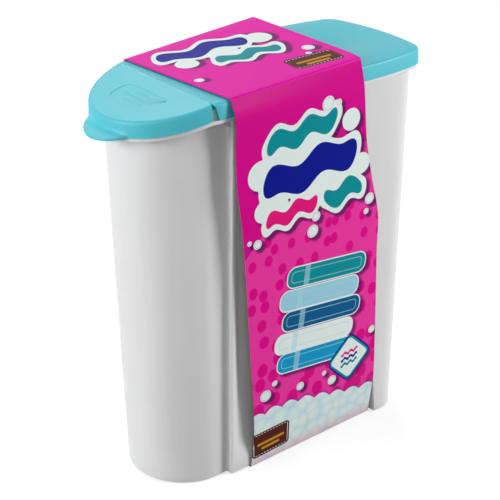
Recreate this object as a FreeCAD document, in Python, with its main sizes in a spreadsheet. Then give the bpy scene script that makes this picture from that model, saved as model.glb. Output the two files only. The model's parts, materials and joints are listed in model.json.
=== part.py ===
import FreeCAD, Part
import math
import os
import Sketcher

# A tall powder tub with a round pouring end, a push-on lid whose front part is a hinged pour flap,
# a dosing plate under the flap and a printed card sleeve glued round lid and tub.
# Frame: +Z up, the pouring end points to -X, origin on the floor under the middle of the lid.

doc = FreeCAD.newDocument("powder_dispenser")

# Driving sizes in millimetres, slopes in degrees.
sizes = [
    ("overall_height", 220.0, "floor to the flat top of the lid"),
    ("lid_half_width", 41.3, "half the width across the lid's straight sides"),
    ("nose_reach", 89.4, "origin to the front of the flap"),
    ("rear_reach", 89.8, "origin to the back of the lid"),
    ("hinge_setback", 4.6, "hinge line in front of the end of the lid's straight sides"),
    ("flap_slope", 13.6, "fall of the flap from its hinge, degrees"),
    ("nose_blunt", 1.9, "how far the nose falls short of a half circle"),
    ("nose_shoulder", 26.0, "radius between side and nose"),
    ("side_end", 45.0, "where the straight side ends at the back"),
    ("side_radius", 160.0, "gentle rear curve of the side"),
    ("lid_corner", 10.0, "rear corner radius of the lid"),
    ("end_radius", 130.0, "shallow arc of the lid's back"),
    ("skirt_height", 8.4, "depth of the lid's skirt"),
    ("skirt_flare", 0.05, "outward lean of the skirt, per millimetre of depth"),
    ("plate_wall", 1.5, "thickness of the lid's top"),
    ("skirt_wall", 1.5, "thickness of the lid's skirt"),
    ("lid_round", 1.5, "rounding of the lid's top edge"),
    ("hinge_gap", 0.8, "slit between lid and flap"),
    ("notch_width", 3.0, "V notch beside the hinge, at the foot of the skirt"),
    ("run_gap", 0.3, "air between the closed flap and the tub"),
    ("tab_out", 7.5, "thumb tab beyond the nose"),
    ("tab_radius", 19.6, "plan radius of the thumb tab"),
    ("tab_thickness", 1.8, "thickness of the thumb tab"),
    ("oval_margin", 12.9, "back of the lid to the back of the oval recess"),
    ("oval_front", 30.0, "origin forward to the front of the oval recess"),
    ("oval_half", 16.4, "half the width of the oval recess"),
    ("oval_ledge", 4.5, "width of the recess's upper ledge"),
    ("oval_step", 0.5, "depth of the upper ledge"),
    ("oval_depth", 1.6, "depth of the recess floor"),
    ("flange_thickness", 1.8, "rim flange under the lid"),
    ("flange_inset", 0.2, "flange edge inside the skirt's outer face"),
    ("neck_drop", 3.0, "top of the tub's neck below the lid's top"),
    ("neck_wall", 1.4, "thickness of the neck"),
    ("neck_gap", 0.4, "air between neck and skirt"),
    ("tub_wall", 1.6, "wall of the tub"),
    ("tub_floor", 1.8, "floor of the tub"),
    ("barrel_nose_foot", 7.6, "nose of the lid to the front of the barrel at the floor"),
    ("barrel_nose_head", 5.9, "the same under the flange"),
    ("barrel_side_foot", 9.1, "side of the lid to the side of the barrel at the floor"),
    ("barrel_side_head", 8.0, "the same under the flange"),
    ("barrel_blunt", 2.1, "how far the barrel's end falls short of a half circle"),
    ("barrel_shoulder", 24.0, "radius between barrel side and nose"),
    ("step_reach_foot", 44.0, "origin forward to the front step at the floor"),
    ("step_reach_head", 41.0, "the same under the flange"),
    ("middle_side_foot", 5.1, "side of the lid to the side of the middle at the floor"),
    ("middle_side_head", 3.9, "the same under the flange"),
    ("grip_margin", 2.0, "flush strip between front step and grip panel"),
    ("grip_run", 4.2, "width of the sloped edge of the grip panel"),
    ("grip_depth", 2.5, "depth of the grip panel"),
    ("foot_height", 5.0, "flush foot below the grip panel"),
    ("foot_rise", 16.0, "height of the slope from foot to panel"),
    ("back_flat", 6.7, "flat side between the rear step and the rear corner, at the floor"),
    ("back_lean", 19.3, "how far forward the rear step comes from the floor to the flange"),
    ("back_run", 0.4, "slant of the rear step across the tub"),
    ("back_side_foot", 0.9, "side of the lid to the side of the rear at the floor"),
    ("back_side_head", 0.9, "the same under the flange"),
    ("back_curve", 23.8, "back of the lid to where the rear's straight side ends"),
    ("back_corner", 14.3, "rear corner radius of the tub"),
    ("back_end_foot", 5.3, "back of the lid to the back of the tub at the floor"),
    ("back_end_head", 2.4, "the same under the flange"),
    ("plate_gap", 0.3, "air between dosing plate and neck"),
    ("plate_thickness", 1.5, "thickness of the dosing plate"),
    ("plate_rim", 1.3, "wall of the dosing plate's rim"),
    ("rim_drop", 2.6, "top of the dosing plate's rim below the lid's top"),
    ("plate_tuck", 5.6, "dosing plate behind the hinge line"),
    ("tray_open", 1.0, "how far the tool that hollows the dosing plate stands above its rim"),
    ("slot_setback", 17.4, "nose of the lid to the middle of the pouring slot"),
    ("slot_length", 36.0, "pouring slot across the dosing plate"),
    ("slot_width", 12.0, "pouring slot, front to back"),
    ("card", 0.5, "thickness of the card sleeve"),
    ("card_gap", 0.3, "air between the sleeve and what it is wrapped round"),
    ("card_foot_gap", 0.6, "air between the sleeve and the middle of the tub at the floor"),
    ("card_skirt_gap", 0.58, "air between the sleeve and the foot of the lid's skirt"),
    ("card_bulge_gap", 0.9, "air between the sleeve and the rear of the tub where it rides over the step"),
    ("card_bulge_level", 30.0, "height where the sleeve has cleared the rear step"),
    ("card_rise_near", 5.75, "how far the sleeve's rear top edge lifts, on the -Y side"),
    ("card_rise_far", 11.5, "the same, on the +Y side"),
    ("card_skew", 4.0, "forward slant of the sleeve from -Y to +Y, degrees"),
    ("card_front_head", 45.4, "origin forward to the sleeve's front edge on top"),
    ("card_front_middle", 42.1, "the same where the upright part of the edge ends"),
    ("card_front_foot", 30.8, "the same at the floor"),
    ("card_back_head", 38.0, "origin to the sleeve's rear edge on top"),
    ("card_back_neck", 42.6, "the same at the top of its flare"),
    ("card_back_middle", 52.8, "the same at the foot of its flare"),
    ("card_step_gap", 1.7, "sleeve's rear edge in front of the rear step, at the floor"),
    ("card_neck_level", 180.0, "height of the top of the flare"),
    ("card_middle_level", 135.0, "height of the foot of the flare"),
    ("sharp_dent", 0.01, "trace of the grip panel in the flush foot, which keeps its corners in step"),
    ("cutter_margin", 20.0, "how far a cutting shape stands past the top"),
]

book = doc.addObject("Spreadsheet::Sheet", "Sizes")
for row, (alias, value, note) in enumerate(sizes, start=1):
    book.set(f"A{row}", alias)
    book.set(f"B{row}", str(value))
    book.set(f"C{row}", note)
    book.setAlias(f"B{row}", alias)

# Values worked out from the sizes: the levels that several pieces share.
worked = [
    ("tub_base", "Sizes.card"),
    ("nose_start", "Sizes.nose_reach - Sizes.lid_half_width + Sizes.nose_blunt"),
    ("hinge_reach", "nose_start + Sizes.hinge_setback"),
    ("nose_fall", "(Sizes.nose_reach - hinge_reach) * tan(Sizes.flap_slope)"),
    ("flange_level", "Sizes.overall_height - Sizes.skirt_height"),
    ("tub_top", "Sizes.overall_height - Sizes.skirt_height - Sizes.flange_thickness / 2"),
    ("neck_outer", "Sizes.skirt_wall + Sizes.neck_gap"),
    ("neck_inner", "Sizes.skirt_wall + Sizes.neck_gap + Sizes.neck_wall"),
    ("plate_edge", "Sizes.skirt_wall + Sizes.neck_gap + Sizes.neck_wall + Sizes.plate_gap"),
    ("far_reach", "2 * Sizes.rear_reach"),
    ("wide_half", "2 * Sizes.lid_half_width"),
    ("tab_reach", "Sizes.nose_reach + Sizes.tab_out"),
    ("oval_back", "Sizes.rear_reach - Sizes.oval_margin"),
    ("barrel_nose_foot", "Sizes.nose_reach - Sizes.barrel_nose_foot"),
    ("barrel_nose_head", "Sizes.nose_reach - Sizes.barrel_nose_head"),
    ("barrel_half_foot", "Sizes.lid_half_width - Sizes.barrel_side_foot"),
    ("barrel_half_head", "Sizes.lid_half_width - Sizes.barrel_side_head"),
    ("middle_half_foot", "Sizes.lid_half_width - Sizes.middle_side_foot"),
    ("middle_half_head", "Sizes.lid_half_width - Sizes.middle_side_head"),
    ("back_half_foot", "Sizes.lid_half_width - Sizes.back_side_foot"),
    ("back_half_head", "Sizes.lid_half_width - Sizes.back_side_head"),
    ("back_start", "Sizes.rear_reach - Sizes.back_curve"),
    ("back_reach_foot", "Sizes.rear_reach - Sizes.back_end_foot"),
    ("back_reach_head", "Sizes.rear_reach - Sizes.back_end_head"),
    ("back_step_foot", "back_start - Sizes.back_flat"),
    ("back_step_head", "back_step_foot - Sizes.back_lean"),
    ("plate_back", "hinge_reach - Sizes.plate_tuck"),
    ("slot_reach", "Sizes.nose_reach - Sizes.slot_setback"),
    ("card_foot_half", "middle_half_foot + Sizes.card_foot_gap"),
    ("skirt_half", "Sizes.lid_half_width + Sizes.skirt_flare * Sizes.skirt_height"),
    ("card_head_half", "skirt_half + Sizes.card_skirt_gap"),
    ("card_bulge", "back_half_foot + Sizes.card_bulge_gap"),
    ("card_back_foot", "back_step_foot - Sizes.card_step_gap"),
    ("above_all", "Sizes.overall_height + Sizes.cutter_margin"),
]
plan = doc.addObject("Spreadsheet::Sheet", "Worked")
for row, (alias, formula) in enumerate(worked, start=1):
    plan.set(f"A{row}", alias)
    plan.set(f"B{row}", "=" + formula)
    plan.setAlias(f"B{row}", alias)
doc.recompute()


def number(text):
    # The value of an expression on the sheets, for a sketch's first geometry.
    found = book.evalExpression(text)
    return float(getattr(found, "Value", found))


turns = {
    "XY": FreeCAD.Rotation(),
    "XZ": FreeCAD.Rotation(FreeCAD.Vector(1, 0, 0), 90),
    "YZ": FreeCAD.Rotation(FreeCAD.Vector(1, 1, 1), 120),
}
level_axis = {"XY": "z", "XZ": "y", "YZ": "x"}


def new_sketch(name, plane, level):
    sketch = doc.addObject("Sketcher::SketchObject", name)
    sketch.Placement = FreeCAD.Placement(FreeCAD.Vector(), turns[plane])
    sketch.setExpression("Placement.Base." + level_axis[plane], level)
    return sketch


def pin_point(index, across, up, rules, bound):
    # Hold an edge's first point at two bound distances from the sketch's origin.
    rules.append(Sketcher.Constraint("DistanceX", -1, 1, index, 1, number(across)))
    bound[len(rules) - 1] = across
    rules.append(Sketcher.Constraint("DistanceY", -1, 1, index, 1, number(up)))
    bound[len(rules) - 1] = up


def pin_radius(index, radius, rules, bound):
    rules.append(Sketcher.Constraint("Radius", index, number(radius)))
    bound[len(rules) - 1] = radius


def settle(sketch, rules, bound):
    sketch.addConstraint(rules)
    for index, text in bound.items():
        sketch.setExpression(f"Constraints[{index}]", text)
    return sketch


def polygon(name, plane, level, corners):
    # A closed straight-sided outline through the corners, each an expression pair.
    sketch = new_sketch(name, plane, level)
    points = [FreeCAD.Vector(number(across), number(up), 0) for across, up in corners]
    rules = []
    bound = {}
    for index, (across, up) in enumerate(corners):
        follower = (index + 1) % len(corners)
        sketch.addGeometry(Part.LineSegment(points[index], points[follower]))
        rules.append(Sketcher.Constraint("Coincident", index, 2, follower, 1))
        pin_point(index, across, up, rules, bound)
    return settle(sketch, rules, bound)


def arc_between(start, end, radius):
    # The short arc that runs counter-clockwise from start to end.
    chord = end - start
    side = FreeCAD.Vector(-chord.y, chord.x, 0).normalize()
    middle = (start + end) / 2 + side * math.sqrt(radius ** 2 - (chord.Length / 2) ** 2)
    first = math.atan2(start.y - middle.y, start.x - middle.x)
    last = math.atan2(end.y - middle.y, end.x - middle.x)
    return Part.ArcOfCircle(Part.Circle(middle, FreeCAD.Vector(0, 0, 1), radius), first, last)


def rounded_end(start, half, end):
    # Points and radii from the straight side to the end arc, measured along the end's own way out.
    reach = number(end["reach"])
    radii = [number(radius) for radius in end["radii"]]
    side = FreeCAD.Vector(start, half - radii[0], 0)
    if len(radii) == 1:
        depth = reach - start
        across = half - radii[0]
        last = (depth ** 2 + across ** 2 - radii[0] ** 2) / (2 * (depth - radii[0]))
        corner = side
        joints = []
    else:
        last = number(end["end_radius"])
        centre = FreeCAD.Vector(reach - last, 0, 0)
        span = (centre - side).Length
        near = radii[0] - radii[1]
        along = (near ** 2 - (last - radii[1]) ** 2 + span ** 2) / (2 * span)
        way = (centre - side).normalize()
        out = FreeCAD.Vector(-way.y, way.x, 0)
        out = out if out.x > 0 else -out
        corner = side + way * along + out * math.sqrt(near ** 2 - along ** 2)
        joints = [side + (corner - side).normalize() * radii[0]]
    centre = FreeCAD.Vector(reach - last, 0, 0)
    joints.append(centre + (corner - centre).normalize() * last)
    return joints, radii + [last]


def rounded(name, level, straight, front, back):
    # A plan outline with rounded ends. straight runs along the +Y side from the back end to the
    # front end, as expression pairs; each end gives its reach and the radii that lead to it.
    sketch = new_sketch(name, "XY", level)
    upper = [FreeCAD.Vector(number(across), number(up), 0) for across, up in straight]
    front_points, front_radii = rounded_end(-upper[-1].x, upper[-1].y, front)
    back_points, back_radii = rounded_end(upper[0].x, upper[0].y, back)
    nose = [FreeCAD.Vector(-point.x, point.y, 0) for point in front_points]
    mirrored = [FreeCAD.Vector(point.x, -point.y, 0) for point in nose[::-1]]
    lower = [FreeCAD.Vector(point.x, -point.y, 0) for point in upper[::-1]]
    tail = [FreeCAD.Vector(point.x, -point.y, 0) for point in back_points]
    points = upper + nose + mirrored + lower + tail + back_points[::-1]
    radii = [0] * (len(upper) - 1) + front_radii + front_radii[-2::-1]
    radii += [0] * (len(upper) - 1) + back_radii + back_radii[-2::-1]
    for index, radius in enumerate(radii):
        start = points[index]
        end = points[(index + 1) % len(points)]
        sketch.addGeometry(arc_between(start, end, radius) if radius else Part.LineSegment(start, end))
    rules = []
    bound = {}
    for index, radius in enumerate(radii):
        follower = (index + 1) % len(radii)
        kind = "Tangent" if radius or radii[follower] else "Coincident"
        rules.append(Sketcher.Constraint(kind, index, 2, follower, 1))
    count = len(upper)
    first_lower = count - 1 + 2 * len(front_radii) - 1
    for index, (across, up) in enumerate(straight):
        pin_point(index, across, up, rules, bound)
        pin_point(first_lower + count - 1 - index, across, f"-({up})", rules, bound)
    arcs = [(count - 1, front, "-"), (first_lower + count - 1, back, "")]
    for first, end, sign in arcs:
        last = first + 2 * len(end["radii"])
        for step, radius in enumerate(end["radii"]):
            pin_radius(first + step, radius, rules, bound)
            rules.append(Sketcher.Constraint("Equal", first + step, last - step))
        middle = first + len(end["radii"])
        reach = sign + "(" + end["reach"] + ")"
        tip = sketch.addGeometry(Part.Point(FreeCAD.Vector(number(reach), 0, 0)), True)
        rules.append(Sketcher.Constraint("PointOnObject", tip, 1, -1))
        rules.append(Sketcher.Constraint("PointOnObject", tip, 1, middle))
        rules.append(Sketcher.Constraint("DistanceX", -1, 1, tip, 1, number(reach)))
        bound[len(rules) - 1] = reach
        if "end_radius" in end:
            pin_radius(middle, end["end_radius"], rules, bound)
            rules.append(Sketcher.Constraint("PointOnObject", middle, 3, -1))
    return settle(sketch, rules, bound)


def lid_plan(name, level, inset):
    # The lid's outline, moved in by an inset; a negative inset moves it out.
    half = f"Sizes.lid_half_width - ({inset})"
    straight = [("Sizes.side_end", half), ("-Worked.nose_start", half)]
    front = {"reach": f"Sizes.nose_reach - ({inset})", "radii": [f"Sizes.nose_shoulder - ({inset})"]}
    back = {
        "reach": f"Sizes.rear_reach - ({inset})",
        "radii": [f"Sizes.side_radius - ({inset})", f"Sizes.lid_corner - ({inset})"],
        "end_radius": f"Sizes.end_radius - ({inset})",
    }
    return rounded(name, level, straight, front, back)


def prism(name, sketch, length, both_ways=False):
    body = doc.addObject("Part::Extrusion", name)
    body.Base = sketch
    body.DirMode = "Normal"
    body.Solid = True
    body.Symmetric = both_ways
    body.setExpression("LengthFwd", length)
    return body


def lid_prism(name, inset):
    # An upright prism on the lid's outline, from the floor level to the top.
    return prism(name, lid_plan(name + "_plan", "0", inset), "Sizes.overall_height")


def loft(name, sections):
    body = doc.addObject("Part::Loft", name)
    body.Sections = sections
    body.Solid = True
    body.Ruled = True
    return body


def common(name, *pieces):
    body = doc.addObject("Part::MultiCommon", name)
    body.Shapes = list(pieces)
    return body


def fuse(name, *pieces):
    body = doc.addObject("Part::MultiFuse", name)
    body.Shapes = list(pieces)
    return body


def cut(name, base, tool):
    body = doc.addObject("Part::Cut", name)
    body.Base = base
    body.Tool = tool
    return body


def slab(name, upper, lower):
    # A layer that follows the lid's top: level behind the hinge line, sloping down in front of it.
    # upper and lower are drops below the top.
    far = "Worked.far_reach"
    fall = f"({far} - Worked.hinge_reach) * tan(Sizes.flap_slope)"
    corners = [
        (f"-{far}", f"Sizes.overall_height - ({lower}) - {fall}"),
        ("-Worked.hinge_reach", f"Sizes.overall_height - ({lower})"),
        (far, f"Sizes.overall_height - ({lower})"),
        (far, f"Sizes.overall_height - ({upper})"),
        ("-Worked.hinge_reach", f"Sizes.overall_height - ({upper})"),
        (f"-{far}", f"Sizes.overall_height - ({upper}) - {fall}"),
    ]
    return prism(name, polygon(name + "_profile", "XZ", "0", corners), "Worked.wide_half * 2", True)


# Container: barrel, steps and grip panels lofted up from the floor, a rim flange and a neck.

def tub_plan(name, level, dent, wall):
    # The tub's outline at a level: dent is the depth of the grip panel there, wall the inset.
    share = f"(({level}) - Worked.tub_base) / (Worked.tub_top - Worked.tub_base)"

    def between(size):
        return f"({size}_foot + ({size}_head - {size}_foot) * {share})"

    barrel = f"{between('Worked.barrel_half')} - ({wall})"
    middle = f"{between('Worked.middle_half')} - ({wall})"
    rear = f"{between('Worked.back_half')} - ({wall})"
    panel = f"{middle} - ({dent})"
    nose = f"{between('Worked.barrel_nose')} - ({wall})"
    nose_start = f"{nose} - ({barrel}) + Sizes.barrel_blunt"
    step = between("Sizes.step_reach")
    back_step = between("Worked.back_step")
    straight = [
        ("Worked.back_start", rear),
        (f"{back_step} + Sizes.back_run + ({wall})", rear),
        (f"{back_step} + ({wall})", middle),
        (f"{back_step} - Sizes.grip_run", panel),
        (f"-({step} - Sizes.grip_margin - Sizes.grip_run)", panel),
        (f"-({step} - Sizes.grip_margin)", middle),
        (f"-({step} - ({wall}))", middle),
        (f"-({step} - ({wall}))", barrel),
        (f"-({nose_start})", barrel),
    ]
    front = {
        "reach": nose,
        "radii": [f"Sizes.barrel_shoulder - ({wall})"],
    }
    back = {
        "reach": f"{between('Worked.back_reach')} - ({wall})",
        "radii": [f"Sizes.back_corner - ({wall})"],
    }
    return rounded(name, level, straight, front, back)


def tub_loft(name, floor, wall):
    foot = "Worked.tub_base + Sizes.foot_height"
    levels = [
        (f"Worked.tub_base + ({floor})", "Sizes.sharp_dent"),
        (foot, "Sizes.sharp_dent"),
        (f"{foot} + Sizes.foot_rise", "Sizes.grip_depth"),
        ("Sizes.overall_height", "Sizes.grip_depth"),
    ]
    sections = []
    for index, (level, dent) in enumerate(levels):
        sections.append(tub_plan(f"{name}_plan_{index}", level, dent, wall))
    return loft(name, sections)


below_flange = slab("below_flange", "Sizes.skirt_height", "Worked.above_all + Worked.far_reach")
tub = common("tub", tub_loft("tub_outer", "0", "0"), below_flange)
hollow = tub_loft("tub_hollow", "Sizes.tub_floor", "Sizes.tub_wall")

flange_layer = slab("flange_layer", "Sizes.skirt_height", "Sizes.skirt_height + Sizes.flange_thickness")
rim_prism = lid_prism("rim_prism", "Sizes.flange_inset")
flange = common("flange", rim_prism, flange_layer)

neck_layer = slab("neck_layer", "Sizes.neck_drop", "Sizes.skirt_height + Sizes.flange_thickness / 2")
neck_outer = lid_prism("neck_outer", "Worked.neck_outer")
neck_inner = lid_prism("neck_inner", "Worked.neck_inner")
neck = common("neck", cut("neck_ring", neck_outer, neck_inner), neck_layer)

mouth = common("mouth", neck_inner, hollow)
rim = cut("rim", fuse("rim_with_neck", flange, neck), mouth)
container = fuse("container_shell", cut("tub_shell", tub, hollow), rim)


# Lid and pour flap: one cap shape with a flared skirt, parted at the hinge line.

def flared(name, inset):
    # The skirt's outline leans outward on the way down.
    drop = "(Sizes.skirt_height + Worked.nose_fall)"
    head = lid_plan(name + "_head", "Sizes.overall_height", inset)
    lean = f"{inset} - Sizes.skirt_flare * {drop}"
    foot = lid_plan(name + "_foot", f"Sizes.overall_height - {drop}", lean)
    return loft(name, [head, foot])


def region(name, corners):
    # A straight-sided zone seen from the side, reaching right across the part.
    return prism(name, polygon(name + "_profile", "XZ", "0", corners), "Worked.wide_half * 2", True)


def round_top(name, base, radius, slope_side):
    # Round the top edge all round, leaving the edge along the hinge line square.
    body = doc.addObject("Part::Fillet", name)
    body.Base = base
    doc.recompute()
    top = number("Sizes.overall_height")
    hinge = -number("Worked.hinge_reach")
    fall = math.tan(math.radians(number("Sizes.flap_slope")))
    picked = []
    for index, edge in enumerate(base.Shape.Edges, start=1):
        middle = edge.valueAt((edge.FirstParameter + edge.LastParameter) / 2)
        points = [vertex.Point for vertex in edge.Vertexes] + [middle]
        levels = [top - (hinge - point.x) * fall if slope_side else top for point in points]
        on_top = all(abs(point.z - level) < 0.01 for point, level in zip(points, levels))
        along_hinge = all(abs(point.x - points[0].x) < 0.01 for point in points)
        if on_top and not along_hinge:
            picked.append((index, radius, radius))
    body.Edges = picked
    return body


cap_outer = flared("cap_outer", "0")
cap_inner = flared("cap_inner", "Sizes.skirt_wall")
hinge_front = "-Worked.hinge_reach - Sizes.hinge_gap / 2"
hinge_back = "-Worked.hinge_reach + Sizes.hinge_gap / 2"
above = "Sizes.overall_height + Sizes.skirt_height"
under_plate = "Sizes.overall_height - Sizes.plate_wall"
skirt_foot = "Sizes.overall_height - Sizes.skirt_height"
notch_foot = f"{hinge_back} + Sizes.notch_width"
edge_round = number("min(Sizes.lid_round; Sizes.skirt_height / 2)")

lid_zone = region("lid_zone", [
    (hinge_back, above),
    (hinge_back, under_plate),
    (notch_foot, skirt_foot),
    ("Worked.far_reach", skirt_foot),
    ("Worked.far_reach", above),
])
lid_layer = slab("lid_layer", "0", "Sizes.skirt_height")
lid_block = common("lid_block", cap_outer, lid_layer, lid_zone)
lid_rounded = round_top("lid_rounded", lid_block, edge_round, False)
lid_under = slab("lid_under", "Sizes.plate_wall", "Worked.far_reach")
lid_hollow = common("lid_hollow", cap_inner, lid_under)


def oval(name, level, length, inset):
    # A long recess with round ends, as a prism downward from a level.
    front = f"-(Sizes.oval_front - Sizes.oval_half)"
    back = f"Worked.oval_back - Sizes.oval_half"
    radius = f"Sizes.oval_half - ({inset})"
    sketch = new_sketch(name + "_plan", "XY", f"{level} - ({length})")
    half = number(radius)
    ends = [(number(back), -1), (number(front), 1)]
    corners = [FreeCAD.Vector(across, side * half, 0) for across, turn in ends for side in (turn, -turn)]
    axis = FreeCAD.Vector(0, 0, 1)
    rear = Part.Circle(FreeCAD.Vector(number(back), 0, 0), axis, half)
    fore = Part.Circle(FreeCAD.Vector(number(front), 0, 0), axis, half)
    sketch.addGeometry(Part.ArcOfCircle(rear, -math.pi / 2, math.pi / 2))
    sketch.addGeometry(Part.LineSegment(corners[1], corners[2]))
    sketch.addGeometry(Part.ArcOfCircle(fore, math.pi / 2, 3 * math.pi / 2))
    sketch.addGeometry(Part.LineSegment(corners[3], corners[0]))
    rules = [Sketcher.Constraint("Tangent", index, 2, (index + 1) % 4, 1) for index in range(4)]
    bound = {}
    pin_radius(0, radius, rules, bound)
    for index, across in ((0, back), (2, front)):
        rules.append(Sketcher.Constraint("PointOnObject", index, 3, -1))
        rules.append(Sketcher.Constraint("DistanceX", -1, 1, index, 3, number(across)))
        bound[len(rules) - 1] = across
    return prism(name, settle(sketch, rules, bound), length)


lid_top = "Sizes.overall_height"
ledge_drop = "Sizes.oval_step + Sizes.plate_wall"
floor_drop = "Sizes.oval_depth + Sizes.plate_wall"
tray_ledge = oval("tray_ledge", lid_top, ledge_drop, "-Sizes.skirt_wall")
tray_floor = oval("tray_floor", lid_top, floor_drop, "Sizes.oval_ledge - Sizes.skirt_wall")
ledge_space = oval("ledge_space", lid_top, "Sizes.oval_step", "0")
floor_space = oval("floor_space", lid_top, "Sizes.oval_depth", "Sizes.oval_ledge")
lid_shell = cut("lid_shell", lid_rounded, lid_hollow)
lid_tray = fuse("lid_tray", lid_shell, tray_ledge, tray_floor)
lid = cut("lid_part", lid_tray, fuse("tray_space", ledge_space, floor_space))

flap_drop = "Sizes.skirt_height - Sizes.run_gap"
flap_zone = region("flap_zone", [
    (hinge_front, above),
    ("-Worked.far_reach", above),
    ("-Worked.far_reach", "0"),
    (hinge_front, "0"),
])
flap_layer = slab("flap_layer", "0", flap_drop)
flap_block = common("flap_block", cap_outer, flap_layer, flap_zone)
flap_rounded = round_top("flap_rounded", flap_block, edge_round, True)
flap_cap = cut("flap_cap", flap_rounded, lid_hollow)

# Thumb tab: a disc at the foot of the skirt, standing out past the nose.
tab_disc = doc.addObject("Part::Cylinder", "tab_disc")
tab_disc.setExpression("Radius", "Sizes.tab_radius")
tab_disc.setExpression("Height", "Sizes.overall_height")
tab_disc.setExpression("Placement.Base.x", "-(Worked.tab_reach - Sizes.tab_radius)")
tab_layer = slab("tab_layer", f"{flap_drop} - Sizes.tab_thickness", flap_drop)
tab = cut("tab", common("tab_plate", tab_disc, tab_layer), cap_inner)
flap = fuse("flap_part", flap_cap, tab)


# Dosing plate: a half-moon tray that rests on the tub's shoulder inside the neck.

plate_zone = region("plate_zone", [
    ("-Worked.plate_back", above),
    ("-Worked.far_reach", above),
    ("-Worked.far_reach", "0"),
    ("-Worked.plate_back", "0"),
])
plate_outer = lid_prism("plate_outer", "Worked.plate_edge")
plate_inner = lid_prism("plate_inner", "Worked.plate_edge + Sizes.plate_rim")
plate_layer = slab("plate_layer", "Sizes.rim_drop", "Sizes.skirt_height")
tray_foot = "Sizes.skirt_height - Sizes.plate_thickness"
tray_layer = slab("tray_layer", "Sizes.rim_drop - Sizes.tray_open", tray_foot)
plate_block = common("plate_block", plate_outer, plate_layer, plate_zone)
plate_tray = common("plate_tray", plate_inner, tray_layer)


def slot_plan(name):
    # The pouring slot: straight sides and round ends, lying across the plate.
    radius = "Sizes.slot_width / 2"
    reach = "Sizes.slot_length / 2 - Sizes.slot_width / 2"
    ends = []
    for side in ("-", ""):
        end = doc.addObject("Part::Cylinder", f"{name}_end_{len(ends)}")
        end.setExpression("Radius", radius)
        end.setExpression("Height", lid_top)
        end.setExpression("Placement.Base.x", "-Worked.slot_reach")
        end.setExpression("Placement.Base.y", f"{side}({reach})")
        ends.append(end)
    middle = doc.addObject("Part::Box", name + "_middle")
    middle.setExpression("Length", "Sizes.slot_width")
    middle.setExpression("Width", f"2 * ({reach})")
    middle.setExpression("Height", lid_top)
    middle.setExpression("Placement.Base.x", "-Worked.slot_reach - Sizes.slot_width / 2")
    middle.setExpression("Placement.Base.y", f"-({reach})")
    return fuse(name, middle, *ends)


plate = cut("plate_part", cut("plate_dish", plate_block, plate_tray), slot_plan("slot"))


# Card sleeve: a loop of card over the lid, down both sides and under the floor.

def card_loop(name, level, grow, rear):
    # The sleeve's section across the part; the rear one lifts off the lid and clears the rear step.
    rise_near = "Sizes.card_rise_near" if rear else "0"
    rise_far = "Sizes.card_rise_far" if rear else "0"
    slope = "(Worked.card_head_half - Worked.card_foot_half) / Worked.flange_level"
    straight = f"(Worked.card_foot_half + {slope} * Sizes.card_bulge_level)"
    waist = "Worked.card_bulge" if rear else straight
    top = "Sizes.overall_height + Sizes.card_gap"
    shoulder = "Worked.flange_level"
    inner = [
        ("Worked.card_foot_half", "Sizes.card", -1),
        (waist, "Sizes.card_bulge_level", 0),
        ("Worked.card_head_half", shoulder, 0),
    ]
    crease = "Sizes.lid_half_width + Sizes.card_gap"
    corners = []
    for half, up, sign in inner:
        corners.append((f"{half} + ({grow})", f"{up} + ({sign}) * ({grow})"))
    corners.append((f"{crease} + ({grow})", f"{top} + {rise_far} + ({grow})"))
    corners.append((f"-({crease} + ({grow}))", f"{top} + {rise_near} + ({grow})"))
    for half, up, sign in inner[::-1]:
        corners.append((f"-({half} + ({grow}))", f"{up} + ({sign}) * ({grow})"))
    return polygon(name, "YZ", level, corners)


loop_ends = (("-Worked.hinge_reach", False), ("Worked.back_start", True))
wraps = []
for name, grow in (("card_outer", "Sizes.card"), ("card_inner", "0")):
    sections = [card_loop(f"{name}_{level[1]}", level[0], grow, level[1]) for level in loop_ends]
    wraps.append(loft(name, sections))
card_side = polygon("card_side", "XZ", "-Sizes.lid_half_width", [
    ("-Sizes.card_front_foot", "-Sizes.card"),
    ("Worked.card_back_foot", "-Sizes.card"),
    ("Sizes.card_back_middle", "Sizes.card_middle_level"),
    ("Sizes.card_back_neck", "Sizes.card_neck_level"),
    ("Sizes.card_back_head", "Sizes.overall_height"),
    ("Sizes.card_back_head", "Worked.above_all"),
    ("-Sizes.card_front_head", "Worked.above_all"),
    ("-Sizes.card_front_head", "Sizes.overall_height"),
    ("-Sizes.card_front_middle", "Sizes.card_neck_level"),
])
card_die = doc.addObject("Part::Extrusion", "card_die")
card_die.Base = card_side
card_die.DirMode = "Custom"
card_die.Solid = True
card_die.Symmetric = True
card_die.setExpression("Dir.x", "-tan(Sizes.card_skew)")
card_die.Dir = FreeCAD.Vector(-math.tan(math.radians(number("Sizes.card_skew"))), 1, 0)
card_die.setExpression("LengthFwd", "Worked.wide_half * 3")
sleeve = common("sleeve_part", cut("card_wrap", *wraps), card_die)

nodes = {
    "container": container,
    "lid": lid,
    "pour_flap": flap,
    "dosing_plate": plate,
    "card_sleeve": sleeve,
}
for label, piece in nodes.items():
    piece.Label = label

doc.recompute()
for thing in doc.Objects:
    if "Invalid" in thing.State or "Error" in thing.State:
        raise SystemExit(f"{thing.Label} failed: {thing.State}")
for label, piece in nodes.items():
    if piece.Shape.isNull() or not piece.Shape.isValid():
        raise SystemExit(f"{label} has no valid shape")

os.makedirs("parts", exist_ok=True)
for label, piece in nodes.items():
    piece.Shape.exportStep(f"parts/{label}.step")
    print(label, len(piece.Shape.Solids), round(piece.Shape.Volume), piece.Shape.optimalBoundingBox(False))
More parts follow.
